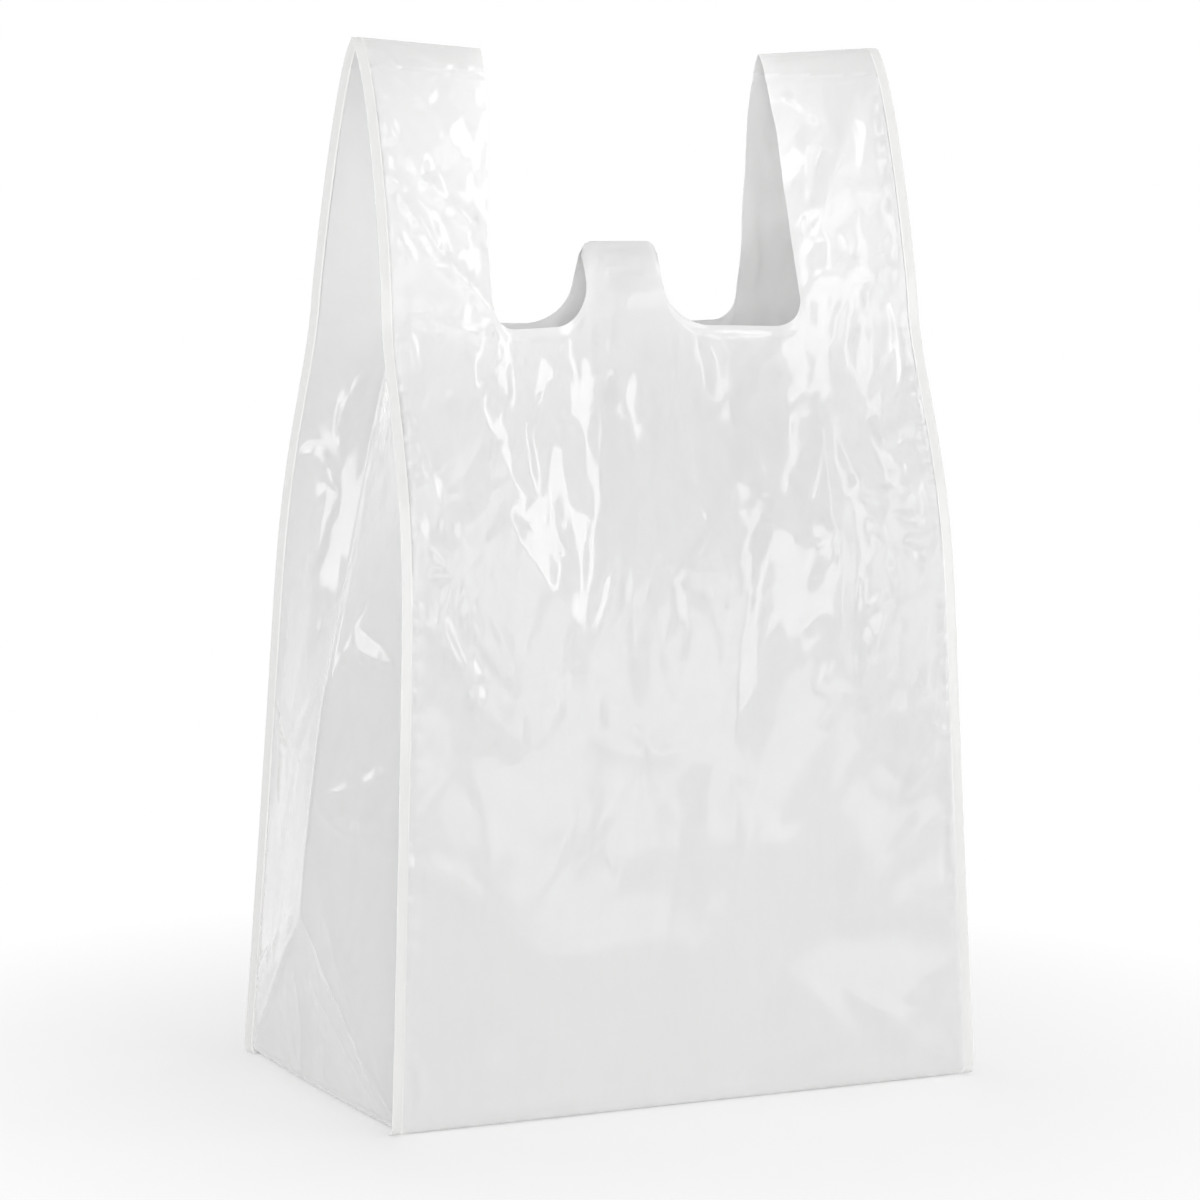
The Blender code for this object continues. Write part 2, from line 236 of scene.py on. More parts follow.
def creases(across, upward, cell, seed, angle=0.0, stretch=1.0):
    """Heights from -1 to 1 over a random net of flat triangles, as crumpled film falls into."""
    c, s = math.cos(angle), math.sin(angle)
    u = (across * c + upward * s) / (cell * stretch)
    v = (upward * c - across * s) / cell
    # The draws belong to the cells, so that pieces that meet share one net.
    draws = np.random.default_rng(seed).uniform(0.0, 1.0, (256, 256, 3))
    i, j = np.meshgrid(np.arange(math.floor(u.min()) - 2, math.ceil(u.max()) + 2),
                       np.arange(math.floor(v.min()) - 2, math.ceil(v.max()) + 2))
    drawn = draws[i.ravel() % 256, j.ravel() % 256]
    spots = np.stack([i.ravel(), j.ravel()], axis=1) + 0.08 + 0.84 * drawn[:, :2]
    tall = 2.0 * drawn[:, 2] - 1.0
    made = delaunay_2d_cdt([Vector(spot) for spot in spots], [], [], 0, 1e-6)
    corners = np.array([tuple(corner) for corner in made[0]])
    source = [origin[0] for origin in made[3]]
    flat_u, flat_v, total = u.ravel(), v.ravel(), np.zeros(u.size)
    order = np.argsort(flat_v, kind="stable")
    sorted_v = flat_v[order]
    for face in made[2]:
        p, h = corners[list(face)], tall[[source[k] for k in face]]
        first, last = np.searchsorted(sorted_v, (p[:, 1].min(), p[:, 1].max()))
        some = order[first:last]
        some = some[(flat_u[some] >= p[:, 0].min()) & (flat_u[some] <= p[:, 0].max())]
        if not some.size:
            continue
        x, y = flat_u[some] - p[2, 0], flat_v[some] - p[2, 1]
        e, f = p[0] - p[2], p[1] - p[2]
        area = e[0] * f[1] - e[1] * f[0]
        a, b = (x * f[1] - y * f[0]) / area, (e[0] * y - e[1] * x) / area
        inside = (a >= 0) & (b >= 0) & (a + b <= 1)
        total[some[inside]] = (a * h[0] + b * h[1] + (1 - a - b) * h[2])[inside]
    return total.reshape(u.shape)


def swell(across, upward, length, seed):
    """Soft random waves of about one length, from -1 to 1, that calm film always has."""
    draw = np.random.default_rng(seed)
    total = np.zeros_like(across)
    for _ in range(7):
        angle, phase = draw.uniform(0, math.pi), draw.uniform(0, 2 * math.pi)
        pitch = length * draw.uniform(0.6, 1.7)
        along = across * math.cos(angle) + upward * math.sin(angle)
        total += np.sin(along * 2 * math.pi / pitch + phase)
    return total / 4.0


def scallops(run, inward, seed):
    """The small puckers beside a weld, whose heat shrinks the film a little."""
    draw = np.random.default_rng(seed)
    bends = np.cumsum(draw.uniform(4.0, 13.0, 90)) - 20.0
    place = np.interp(run, bends, np.arange(90.0))
    strength = 0.35 + 0.65 * np.abs(np.sin(run / 37.0 + seed)) ** 1.5
    pucker = np.abs(np.sin(place * math.pi)) ** 0.7
    fade = np.clip(inward / 0.8, 0.0, 1.0) * np.clip(1.0 - inward / (3.0 + 3.5 * pucker), 0.0, 1.0)
    return pucker * strength * fade


def panel_relief(x, z, folds, seed):
    """Height in millimetres of everything that creases a panel or a leg of a handle."""
    inward = np.maximum(0.0, half_seams(z * MM) / MM - np.abs(x))
    upper = np.clip((z - 150.0) / 120.0, 0.0, 1.0)
    rough = creases(x, z, 5.5, seed, 0.9, 1.8)
    small = creases(x, z, 10.0, seed + 1, 1.1, 2.0)
    broad = creases(x, z, 44.0, seed + 2, 1.2, 1.5)
    middling = creases(x, z, 15.0, seed + 3, 1.47, 3.0)
    # The film is crumpled most beside the upper welds, and less across the handles.
    beside = np.maximum(1.0 - (inward - 4.0) / 34.0, 0.35 * np.clip((z - 345.0) / 30.0, 0.0, 1.0))
    patchy = np.clip(0.6 + 0.7 * swell(x, z, 45.0, seed + 5), 0.2, 1.0)
    worn = upper * np.clip(beside, 0.0, 1.0) * patchy
    height = fold_heights(x, z, folds, rough)
    height += blend(2.3, 1.2, upper) * broad + blend(0.5, 1.3, upper) * middling
    height += ((blend(0.25, 0.60, upper) + 1.3 * worn) * small
               + (blend(0.10, 0.26, upper) + 0.8 * worn) * rough)
    height *= np.clip(inward / 9.0, 0.0, 1.0) ** 0.7 * np.clip(z / 9.0, 0.0, 1.0)
    # The weld is a groove along the band, whose free edge turns up a little.
    band = np.maximum(0.0, np.abs(x) - half_seams(z * MM) / MM)
    weld = -0.22 * np.clip(1.0 - np.abs(band - 1.3) / 0.8, 0.0, 1.0)
    edge = 0.25 * np.clip((band - 4.3) / 1.2, 0.0, 1.0)
    return height + 1.5 * scallops(z, inward, seed + 4) + weld + edge


# Folds of the front, in millimetres across and up, as they lie in the photograph: the ridge line,
# the widths of the flanks to its left and right, the slope and how crumpled the fold is.
FRONT_FOLDS = (
    # left shoulder: the curved ridge and the small folds between it and the weld
    (((-139, 332), (-134, 321), (-129, 308), (-125, 291), (-121, 277), (-117, 261), (-117, 251)),
      6.3, 3.2, 0.26, 0.2),
    (((-143, 302), (-139, 297), (-135, 292), (-134, 286)), 5.2, 2.6, 0.3, 0.5),
    (((-143, 293), (-139, 285), (-135, 279), (-130, 278)), 5.1, 2.5, 0.3, 0.5),
    (((-142, 281), (-136, 274), (-127, 261), (-118, 251)), 7.1, 3.6, 0.28, 0.3),
    (((-144, 266), (-142, 257), (-141, 248)), 4.2, 2.1, 0.3, 0.5),
    # the large crumpled patch by the weld and the sharp crease under it
    (((-143, 241), (-135, 232), (-122, 217), (-111, 199), (-107, 184)), 9.8, 17.6, 0.24, 0.1),
    (((-139, 244), (-132, 247), (-128, 240), (-125, 228), (-122, 218)), 4.1, 7.2, 0.22, 0.6),
    (((-132, 249), (-124, 249), (-118, 249)), 4.8, 7.6, 0.24, 0.6),
    (((-118, 247), (-122, 234), (-123, 221), (-116, 210), (-99, 200)), 6.8, 10.5, 0.22, 0.7),
    (((-113, 242), (-109, 230), (-104, 218), (-96, 207), (-90, 197)), 8.4, 3.7, 0.26, 0.5),
    (((-100, 231), (-93, 219), (-89, 206), (-89, 196), (-95, 194)), 7.4, 4.2, 0.24, 0.3),
    (((-110, 198), (-101, 187), (-91, 177), (-80, 169)), 13.1, 22.2, 0.14, 0),
    (((-64, 190), (-71, 178), (-80, 169)), 6.2, 13.5, 0.14, 0),
    # the wide bands that run down from the left handle to the quiet middle
    (((-96, 346), (-95, 329), (-91, 311), (-82, 289), (-70, 280)), 17.8, 31.4, 0.13, 0.1),
    (((-67, 316), (-66, 302), (-65, 288), (-71, 278)), 8.5, 4.3, 0.2, 0.4),
    (((-90, 279), (-76, 254), (-61, 234), (-49, 217)), 11.4, 20.7, 0.12, 0),
    (((-26, 269), (-34, 247), (-41, 229), (-49, 217)), 18, 7.4, 0.12, 0),
    (((-10, 277), (-18, 250), (-22, 228), (-23, 206)), 13.8, 7.4, 0.1, 0),
    # from the foot of the left handle
    (((-71, 357), (-72, 346), (-73, 331), (-75, 316)), 6.4, 3.2, 0.2, 0),
    (((-78, 350), (-75, 346), (-78, 340), (-87, 339)), 4.2, 2.6, 0.24, 0.4),
    (((-95, 353), (-86, 352), (-72, 353)), 2.4, 4.8, 0.26, 0.4),
    # the crease across the foot of the tab, and drapes under the mouth
    (((-17, 372), (2, 371), (21, 372)), 5.7, 14.3, 0.2, 0.3),
    (((-12, 385), (-9, 378), (-16, 371)), 5.3, 3.2, 0.2, 0.3),
    (((0, 382), (9, 377), (21, 372)), 3.9, 6.8, 0.18, 0.3),
    (((-18, 357), (-15, 346), (-11, 326), (-9, 313)), 17.9, 8.9, 0.2, 0.12),
    (((-9, 317), (-8, 307), (-7, 297), (-7, 285)), 12.7, 5.3, 0.22, 0.05),
    (((-13, 353), (-8, 348), (-4, 344), (-4, 337)), 6.2, 3.1, 0.2, 0.3),
    (((-3, 349), (4, 340), (9, 332), (11, 322), (9, 312)), 12.6, 6.3, 0.22, 0.12),
    (((26, 355), (25, 347), (22, 338), (15, 327)), 9.5, 4.8, 0.2, 0.1),
    (((36, 352), (40, 344), (41, 334), (38, 321)), 11.7, 6.4, 0.2, 0.2),
    (((56, 353), (54, 344), (50, 337)), 6.3, 3.7, 0.2, 0.2),
    (((56, 348), (60, 339), (57, 329), (51, 317), (48, 307)), 12.8, 6.9, 0.22, 0.12),
    (((49, 308), (48, 298), (44, 283)), 13.8, 7.4, 0.2, 0.05),
    (((70, 350), (68, 344), (62, 337)), 6.3, 4.2, 0.2, 0.3),
    (((22, 338), (19, 312), (17, 285), (14, 267)), 10.6, 4.8, 0.12, 0),
    (((-35, 351), (-42, 345), (-44, 341)), 6.3, 3.1, 0.16, 0.2),
    (((-47, 314), (-51, 292), (-49, 270), (-49, 218)), 21.3, 11.7, 0.08, 0),
    # nodes of the quiet middle
    (((0, 274), (-1, 259), (1, 243)), 12.7, 6.4, 0.14, 0.1),
    (((1, 243), (13, 244), (25, 243)), 3.8, 11.4, 0.16, 0.1),
    (((2, 242), (9, 231), (16, 221), (23, 212)), 20.5, 11.3, 0.1, 0),
    (((7, 236), (7, 215), (2, 200), (-4, 185)), 21.3, 13.8, 0.1, 0),
    (((54, 276), (52, 289), (51, 303)), 7.4, 13.7, 0.12, 0),
    (((69, 322), (66, 305), (59, 280), (54, 266)), 5.3, 10.6, 0.16, 0),
    (((39, 270), (49, 271), (54, 266)), 4.8, 10.6, 0.14, 0.2),
    (((54, 265), (50, 253), (44, 242), (37, 232)), 17.8, 12.6, 0.12, 0),
    (((20, 272), (25, 255), (29, 238), (26, 212)), 15.9, 12.7, 0.1, 0),
    (((-51, 174), (-33, 165), (-16, 162), (2, 166)), 5.7, 12.4, 0.14, 0),
    (((-26, 176), (-21, 169), (-16, 163)), 11.3, 5.6, 0.2, 0),
    (((-40, 191), (-38, 183), (-40, 176)), 9.6, 4.8, 0.14, 0),
    # the long pair of creases on the right and what they enclose
    (((83, 325), (82, 296), (81, 267), (84, 255), (83, 216), (86, 197), (92, 185)),
      6.9, 13.8, 0.16, 0.05),
    (((112, 227), (105, 222), (98, 203), (92, 185)), 17.9, 7.9, 0.22, 0.25),
    (((69, 187), (80, 187), (93, 185)), 5.2, 10.5, 0.18, 0.2),
    (((78, 201), (74, 194), (69, 186)), 4.2, 8.3, 0.2, 0.3),
    (((81, 186), (77, 179), (69, 171)), 10.3, 4.6, 0.16, 0),
    (((107, 314), (114, 297), (123, 281), (135, 259)), 15.6, 8.8, 0.18, 0.25),
    (((90, 305), (94, 289), (100, 280), (115, 279)), 6, 11.1, 0.2, 0.3),
    (((97, 276), (101, 266), (107, 257), (109, 255)), 6.2, 3.6, 0.26, 0.8),
    (((112, 269), (123, 265), (135, 260)), 3.9, 6.8, 0.3, 0.3),
    (((117, 257), (125, 256), (135, 260)), 4.8, 5.8, 0.3, 0.3),
    (((118, 254), (121, 249), (129, 243)), 4.6, 3, 0.28, 0.4),
    (((109, 255), (112, 247), (114, 238), (112, 227)), 11.7, 6.4, 0.22, 0.2),
    (((105, 234), (102, 229), (97, 224)), 7.2, 4.1, 0.16, 0.2),
    (((134, 316), (131, 297), (133, 279), (135, 261)), 4.2, 2.7, 0.24, 0.3),
    (((98, 210), (95, 229), (93, 248), (87, 257)), 8.5, 15.9, 0.12, 0.1),
    # low on the right
    (((130, 169), (135, 166), (139, 162)), 6, 4, 0.28, 0.3),
    (((138, 162), (129, 150), (122, 142), (113, 134)), 13.4, 7.2, 0.22, 0.15),
    (((139, 135), (127, 123), (112, 110), (97, 93)), 15.3, 8.2, 0.16, 0.1),
    (((92, 140), (92, 112), (91, 69)), 12.8, 21.3, 0.07, 0),
    (((80, 49), (101, 35), (122, 19), (149, 3)), 9.9, 19.8, 0.14, 0.05),
    (((138, 42), (140, 27), (147, 6)), 6.4, 4.2, 0.2, 0.3),
    (((130, 219), (127, 204), (129, 185)), 12.8, 6.4, 0.1, 0),
    # low on the left
    (((-146, 39), (-140, 31), (-138, 18), (-142, 5)), 5.3, 3.7, 0.3, 0.1),
    (((-98, 32), (-114, 23), (-129, 16), (-141, 5)), 29.9, 13, 0.1, 0),
    (((-144, 116), (-127, 112), (-107, 103)), 12.5, 19.2, 0.07, 0),
    (((-144, 164), (-140, 161), (-134, 154)), 4, 6.1, 0.2, 0.3),
    (((-146, 131), (-137, 120), (-122, 115)), 10.8, 14.8, 0.09, 0),
    (((-68, 73), (-27, 79), (15, 67)), 19, 33.3, 0.05, 0),
    (((-47, 117), (5, 124), (58, 114)), 23.8, 33.3, 0.05, 0),
    (((-111, 166), (-102, 125), (-108, 85)), 31.9, 47.9, 0.05, 0),
    # left handle
    (((-137, 460), (-131, 453), (-127, 445), (-119, 433), (-108, 420), (-95, 410), (-81, 401)),
      11.2, 7.6, 0.35, 0.5),
    (((-137, 434), (-129, 422), (-122, 412), (-115, 402), (-108, 390), (-97, 379), (-82, 365),
      (-72, 355)), 10.2, 6.1, 0.38, 0.4),
    (((-122, 471), (-112, 463), (-104, 454), (-94, 439), (-82, 430)), 13.2, 20.3, 0.16, 0.1),
    (((-134, 450), (-129, 449), (-127, 445)), 4, 2.5, 0.41, 0.6),
    (((-136, 432), (-130, 425), (-125, 421)), 3.5, 2, 0.41, 0.6),
    (((-137, 410), (-130, 405), (-127, 397), (-123, 387)), 7.2, 4.1, 0.27, 0.5),
    (((-137, 397), (-129, 398), (-123, 391), (-122, 383)), 6, 4, 0.27, 0.5),
    (((-137, 384), (-131, 387), (-127, 391)), 4.5, 3, 0.32, 0.5),
    (((-111, 412), (-106, 401), (-104, 387), (-100, 379)), 6.3, 3.2, 0.27, 0.2),
    (((-93, 396), (-85, 393), (-81, 392)), 3.9, 3.9, 0.32, 0.4),
    (((-138, 368), (-126, 362), (-110, 359), (-90, 355), (-72, 353)), 2.9, 6.7, 0.32, 0.2),
    (((-134, 363), (-129, 357), (-126, 350), (-124, 338)), 10.4, 6.3, 0.22, 0.1),
    (((-79, 477), (-84, 482), (-83, 473)), 5.1, 3.1, 0.35, 0.3),
    (((-122, 485), (-122, 478), (-117, 473)), 5.1, 3.1, 0.35, 0.3),
    (((-134, 481), (-133, 477), (-136, 473)), 4.3, 3.2, 0.35, 0.3),
    (((-82, 468), (-81, 463), (-79, 459)), 3.7, 2.6, 0.32, 0.3),
    # right handle
    (((81, 467), (89, 463), (97, 456), (101, 449)), 7, 5, 0.27, 0.3),
    (((101, 449), (95, 443), (86, 440)), 6.9, 4.9, 0.27, 0.3),
    (((123, 470), (113, 453), (104, 434), (96, 415), (89, 396)), 17.9, 9.5, 0.22, 0.2),
    (((137, 481), (130, 470), (122, 462)), 6.3, 4.2, 0.32, 0.4),
    (((87, 381), (96, 383), (106, 386), (109, 383)), 3.8, 6.7, 0.3, 0.3),
    (((101, 402), (105, 396), (107, 389)), 6.3, 3.1, 0.35, 0.4),
    (((118, 390), (123, 387), (127, 381)), 5, 3, 0.38, 0.5),
    (((111, 374), (113, 368), (114, 359)), 5.3, 3.2, 0.32, 0.4),
    (((104, 424), (113, 420), (125, 419), (136, 416)), 4.8, 8.6, 0.24, 0.3),
    (((110, 381), (123, 383), (136, 384)), 3.8, 6.7, 0.24, 0.3),
    (((90, 438), (87, 419), (83, 401)), 9.6, 5.3, 0.19, 0.1),
    (((102, 368), (98, 359), (95, 347)), 7.4, 4.2, 0.24, 0.2),
    (((120, 368), (123, 358), (120, 344)), 6.4, 4.2, 0.27, 0.3),
)
# In millimetres: the flat strip along the mouth and the groove under it, where the flat film ends
# at a crown, the weld below a crown, and the mark on the tab.
STRIP, STRIP_GROOVE = 5.2, 5.0
FLAT_TOP, WELD_DROP = 484.0, 13.0
MARK_MIDDLE, MARK_HALF_HEIGHT, MARK_HALF_WIDTH, MARK_FOOT = 385.5, 5.0, 11.5, 376.5


def leaf_height(x, z, below, folds, seed, seen_from=1):
    """Height in millimetres of a leaf: its creases, the flat strip along the mouth, the welds."""
    height = panel_relief(seen_from * x, z, folds, seed)
    in_mouth = (np.clip((80.0 - np.abs(x)) / 4.0, 0.0, 1.0)
                * np.clip((np.abs(x) - 20.5) / 6.0, 0.0, 1.0))
    strip = np.clip((STRIP - below) / 1.2, 0.0, 1.0) * in_mouth
    height = height * (1.0 - 0.75 * strip) + 0.25 * strip
    height -= 0.5 * np.clip(1.0 - np.abs(below - STRIP_GROOVE) / 1.3, 0.0, 1.0) * in_mouth
    # Towards the crowns the film lies flat; a weld across each closed the flat tube.
    height *= np.clip((FLAT_TOP - z) / 6.0, 0.0, 1.0)
    weld = np.abs(z - (CROWN / MM - WELD_DROP)) / 1.2
    height -= 0.35 * np.clip(1.0 - weld, 0.0, 1.0)
    # The die pressed a rounded mark, wider at its top, into the tab.
    mark_half_width = MARK_HALF_WIDTH + 0.45 * (z - MARK_MIDDLE)
    mark = np.maximum(np.abs(z - MARK_MIDDLE) - MARK_HALF_HEIGHT, np.abs(x) - mark_half_width)
    on_tab = (np.abs(x) < 21.0) & (z < 400.0)
    height -= 0.65 * np.clip(1.0 - np.abs(mark) / 1.5, 0.0, 1.0) * (z > MARK_FOOT) * on_tab
    # Both leaves of the tab lie together towards its top.
    top = MOUTH_HEIGHT + TAB_RISE
    return height * np.where(on_tab, np.clip((top / MM - z) / 4.0, 0.0, 1.0), 1.0)


def linear(hex_colour):
    """An sRGB hex colour as linear RGBA."""
    parts = [int(hex_colour[i:i + 2], 16) / 255 for i in (1, 3, 5)]
    return [c / 12.92 if c <= 0.04045 else ((c + 0.055) / 1.055) ** 2.4 for c in parts] + [1.0]


def add_node(tree, kind, settings=(), links=()):
    """Adds a node, sets its properties and inputs by name, and links sockets into its inputs."""
    node = tree.nodes.new(kind)
    for key, value in dict(settings).items():
        if key in node.inputs:
            node.inputs[key].default_value = value
        else:
            setattr(node, key, value)
    for key, socket in dict(links).items():
        tree.links.new(socket, node.inputs[key])
    return node


# Blown LDPE film: drawn up as a bubble between rollers, which leaves it milky white, glossy and
# faintly streaked along its length; it shows soft white body colour under sharp reflections.
blown_film = bpy.data.materials.new("blown_ldpe_film")
blown_film.use_nodes = True
tree = blown_film.node_tree
shader = tree.nodes["Principled BSDF"]
shader.inputs["IOR"].default_value = 1.51
shader.inputs["Subsurface Weight"].default_value = 1.0
shader.inputs["Subsurface Scale"].default_value = 0.0013
shader.inputs["Subsurface Radius"].default_value = (1.0, 1.0, 1.0)
shader.inputs["Roughness"].default_value = 0.09
shader.inputs["Coat Weight"].default_value = 1.0
shader.inputs["Coat Roughness"].default_value = 0.04
shader.inputs["Coat IOR"].default_value = 1.51
place = add_node(tree, "ShaderNodeTexCoord")
# The draw lines run up the bag, about 3 mm apart and 60 mm long.
streaks = add_node(tree, "ShaderNodeMapping", {"Scale": (1.0, 1.0, 0.05)},
                   {"Vector": place.outputs["Object"]})
draw_lines = add_node(tree, "ShaderNodeTexNoise", {"Scale": 330.0, "Detail": 2.0},
                      {"Vector": streaks.outputs["Vector"]})
clouds = add_node(tree, "ShaderNodeTexNoise", {"Scale": 22.0, "Detail": 2.0},
                  {"Vector": place.outputs["Object"]})
both = add_node(tree, "ShaderNodeMix", {"data_type": "FLOAT", "Factor": 0.5},
                {"A": draw_lines.outputs["Fac"], "B": clouds.outputs["Fac"]})
tint = add_node(tree, "ShaderNodeValToRGB", (), {"Fac": both.outputs["Result"]})
tint.color_ramp.elements[0].position, tint.color_ramp.elements[0].color = 0.35, linear("#F8F8F6")
tint.color_ramp.elements[1].position, tint.color_ramp.elements[1].color = 0.65, linear("#F9F9F8")
# Painted shade: the weld bands, which stand free and are lit through from behind, and the strips
# above the crown welds get a darker film colour.
painted_weld_shade = add_node(tree, "ShaderNodeAttribute", {"attribute_name": "painted_weld_shade"})
film_colour = add_node(tree, "ShaderNodeMix", {"data_type": "RGBA"},
                       {"Factor": painted_weld_shade.outputs["Fac"]})
free_colour, painted_weld_shade_colour = film_colour.inputs[6], film_colour.inputs[7]
tree.links.new(tint.outputs["Color"], free_colour)
# The colour of the painted shade on the weld bands and above the crown welds.
painted_weld_shade_colour.default_value = linear("#CDCDCC")
tree.links.new(film_colour.outputs[2], shader.inputs["Base Color"])
# The finest crinkle of the film, 4 mm across and less, is too small for the mesh.
crinkle = add_node(tree, "ShaderNodeTexNoise", {"Scale": 260.0, "Detail": 3.0, "Roughness": 0.6},
                   {"Vector": place.outputs["Object"]})
dent = add_node(tree, "ShaderNodeBump", {"Strength": 0.08, "Distance": 0.0002},
                {"Height": crinkle.outputs["Fac"]})
tree.links.new(dent.outputs["Normal"], shader.inputs["Normal"])


def sheet_of_film(name, grids, outward, painted_shade_at=None):
    """Grids of points, each with its height in mm, joined where they meet and thickened.

    The heights go outward. The last argument gives the share, from 0 to 1, of painted shade on each
    point, on the weld bands and above the crown welds.
    """
    outward = np.array(outward, float)
    made = []
    for points, height in grids:
        rows, columns, _ = points.shape
        surface = points + outward * (height * MM)[..., None]
        bpy.ops.object.select_all(action="DESELECT")
        bpy.ops.mesh.primitive_grid_add(x_subdivisions=columns - 1, y_subdivisions=rows - 1,
                                        size=1.0)
        piece = bpy.context.object
        piece.data.vertices.foreach_set("co", surface.astype(np.float32).ravel())
        piece.data.update()
        made.append(piece)
    for piece in made:
        piece.select_set(True)
    bpy.context.view_layer.objects.active = made[0]
    bpy.ops.object.join()
    piece = made[0]
    piece.name = piece.data.name = name
    bpy.ops.object.mode_set(mode="EDIT")
    bpy.ops.mesh.select_all(action="SELECT")
    meeting = 0.00004       # points of two grids that are nearer than this are one
    bpy.ops.mesh.remove_doubles(threshold=meeting)
    # A grid that was laid the other way round has its faces turned outwards.
    along_row, up_row = points[rows // 3, -1] - points[rows // 3, 0], points[-1, 0] - points[0, 0]
    if np.cross(along_row, up_row) @ outward < 0:
        bpy.ops.mesh.flip_normals()
    bpy.ops.object.mode_set(mode="OBJECT")
    wall = piece.modifiers.new("film", "SOLIDIFY")
    wall.thickness, wall.offset = FILM, 0.0
    # Each point's share of painted shade goes to the material as an attribute.
    if painted_shade_at:
        painted_weld_shade = piece.data.attributes.new("painted_weld_shade", "FLOAT", "POINT")
        painted_weld_shade.data.foreach_set("value", [float(painted_shade_at(v.co)) for v in piece.data.vertices])
    bpy.ops.object.modifier_apply(modifier=wall.name)
    bpy.ops.object.shade_smooth_by_angle(angle=math.radians(50.0))
    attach(piece, "root")
    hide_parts("carrier_bag")
    piece.data.materials.clear()
    piece.data.materials.append(blown_film)
    return piece


def painted_weld_shade_share(co):
    """Share of painted shade on the film: full in the weld bands, which are lit through from
    behind, and some above the crown welds.
    """
    painted_shade_above_weld = 0.3 * (co.z > CROWN - WELD_DROP * MM)
    return max(painted_shade_above_weld, abs(co.x) > half_seams(co.z) + 0.0002)


grids = [(points, leaf_height(x, z, below, FRONT_FOLDS, 11))
         for points, x, z, below in leaf_grids(FRONT, (12, 20, 16, 12, 34), 6, 0.0015)]
sheet_of_film("front_leaf", grids, (0, FRONT, 0), painted_weld_shade_share)

# ---------------------------------------------------------------------------------------------
# Back leaf: the other flat side of the film tube, cut at the same stroke as the front one. The
# photograph doesn't show it, so its folds follow from the same pull of tab, seams and shoulders.
BACK_FOLDS = (
    # from the shoulders down to the seams
    (((-138, 262), (-122, 252), (-108, 228), (-98, 202), (-92, 184)), 10, 19, 0.22, 0.2),
    (((-132, 296), (-122, 290), (-112, 272), (-106, 250)), 8, 5, 0.26, 0.5),
    (((-134, 330), (-126, 306), (-118, 280), (-116, 256)), 6, 4, 0.26, 0.4),
    (((138, 244), (128, 236), (112, 214), (100, 186)), 20, 10, 0.22, 0.2),
    (((136, 318), (126, 300), (118, 276), (114, 250)), 6, 9, 0.24, 0.5),
    (((128, 262), (118, 256), (108, 244), (104, 226)), 9, 5, 0.24, 0.6),
    (((-100, 345), (-96, 318), (-86, 286), (-70, 250), (-58, 222)), 14, 26, 0.14, 0.1),
    (((102, 340), (96, 310), (84, 270), (70, 240), (62, 214)), 24, 13, 0.14, 0.1),
    # drapes under the mouth
    (((-24, 358), (-25, 338), (-28, 310), (-30, 288)), 15, 8, 0.2, 0.15),
    (((-2, 356), (3, 342), (6, 324), (2, 306)), 12, 6, 0.22, 0.15),
    (((22, 356), (27, 338), (26, 316), (20, 296)), 7, 13, 0.2, 0.15),
    (((48, 352), (52, 336), (48, 316)), 12, 6, 0.2, 0.2),
    (((-50, 353), (-56, 338), (-58, 318)), 6, 11, 0.2, 0.2),
    (((66, 350), (64, 338), (58, 326)), 8, 4, 0.2, 0.3),
    (((10, 300), (6, 270), (-4, 240), (-8, 212)), 20, 12, 0.1, 0),
    # the quiet lower half
    (((-38, 196), (-14, 184), (16, 182), (40, 192)), 8, 16, 0.13, 0.1),
    (((-140, 168), (-112, 150), (-84, 138)), 12, 20, 0.14, 0.1),
    (((138, 120), (112, 100), (88, 76)), 18, 11, 0.14, 0.1),
    (((-146, 6), (-124, 18), (-96, 36)), 24, 12, 0.12, 0),
    (((146, 5), (122, 20), (92, 40)), 12, 22, 0.12, 0),
    (((-70, 110), (-10, 96), (60, 112)), 26, 36, 0.05, 0),
)
# As seen from behind, across runs the other way.
grids = [(points, leaf_height(x, z, below, BACK_FOLDS, 31, -1))
         for points, x, z, below in leaf_grids(BACK, (8, 13, 11, 8, 26), 4, 0.0021)]
sheet_of_film("back_leaf", grids, (0, BACK, 0), painted_weld_shade_share)

# ---------------------------------------------------------------------------------------------
# Gussets: the side of the film tube folds inwards at the handles and is pushed out near the
# base, where two diagonal folds meet. A gusset ends in a point between the legs of its handle.
BULGE, BULGE_HEIGHT, BASE_BOW, PLEAT_SHARE = 0.0175, 0.085, 0.0020, 0.60
LEFT, RIGHT = -1, 1


def gusset_grid(end, across_cells, cell):
    """Points of a gusset, rows from the base up, and its depthwise place and height in mm."""
    body = np.append([0.0, 0.0005, 0.0013, 0.0026], np.linspace(0.0045, FOOT, round(FOOT / cell)))
    legs = blend(FOOT, CROWN, np.sin(np.linspace(0.0, math.pi / 2, 72))[1:])
    z = np.concatenate([body, legs])[:, None]
    across = np.linspace(-1.0, 1.0, 2 * across_cells + 1)[None, :]
    aside = np.abs(across)
    rise = z / BULGE_HEIGHT
    low = -BASE_BOW * (1.0 - aside ** 2) * (1.0 - rise) - BULGE * np.minimum(rise, 1.0 - aside)
    share = np.clip((z - BULGE_HEIGHT) / (FOOT - BULGE_HEIGHT), 0.0, 1.0) ** 1.45
    middle = blend(-BULGE, PLEAT_SHARE * float(half_depth(FOOT)), share) * (1.0 - aside)
    high = PLEAT_SHARE * half_depth(z) * (1.0 - aside)
    inset = np.where(z < BULGE_HEIGHT, low, np.where(z < FOOT, middle, high))
    x = end * (half_seams(z) - inset - tuck(z))
    y = across * (half_depth(z) - tuck(z))
    points = np.stack([x, y, np.broadcast_to(z, x.shape) + FILM / 2], axis=2)
    return points, y / MM, np.broadcast_to(z, x.shape) / MM


